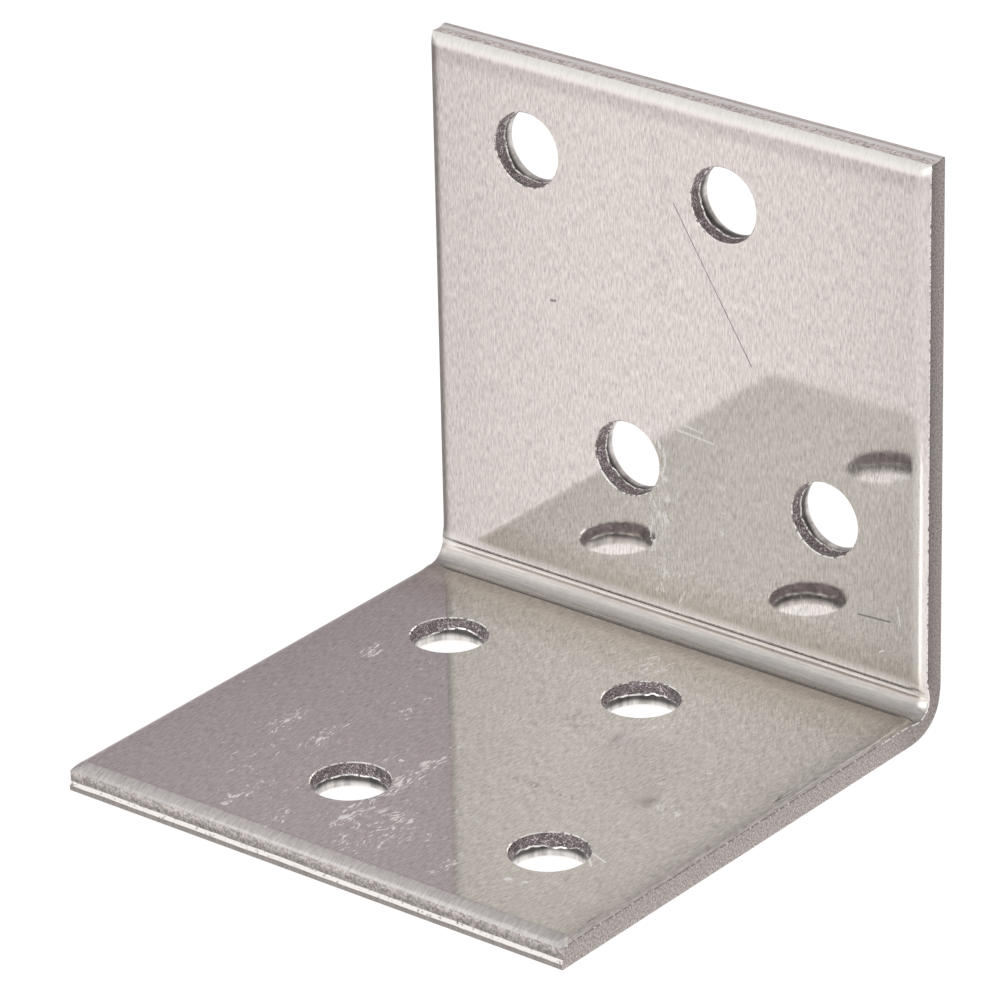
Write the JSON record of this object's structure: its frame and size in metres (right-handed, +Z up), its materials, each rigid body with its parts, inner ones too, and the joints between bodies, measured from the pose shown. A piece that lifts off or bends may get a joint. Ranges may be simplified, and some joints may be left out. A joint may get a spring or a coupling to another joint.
{
  "type": "corner brace bracket",
  "caption": "Right-angle corner brace folded from one strip of stainless steel, with staggered punched screw holes in both legs, for joining two timbers or panels.",
  "frame": {"origin": "middle of the bounding box's bottom face, in the plane of the base leg's underside", "axes": "+Z up, +Y out of the outer face of the wall leg, +X along the fold, so that the open corner looks to -Y and +Z"},
  "size_m": [0.0404, 0.04, 0.04],
  "materials": {
    "steel": "bright cold-rolled stainless sheet with a fine grain that runs round the fold from end to end, light scratches, rough grey cut edges"
  },
  "bodies": {
    "root": {"bracket": "steel"}
  },
  "joints": []
}
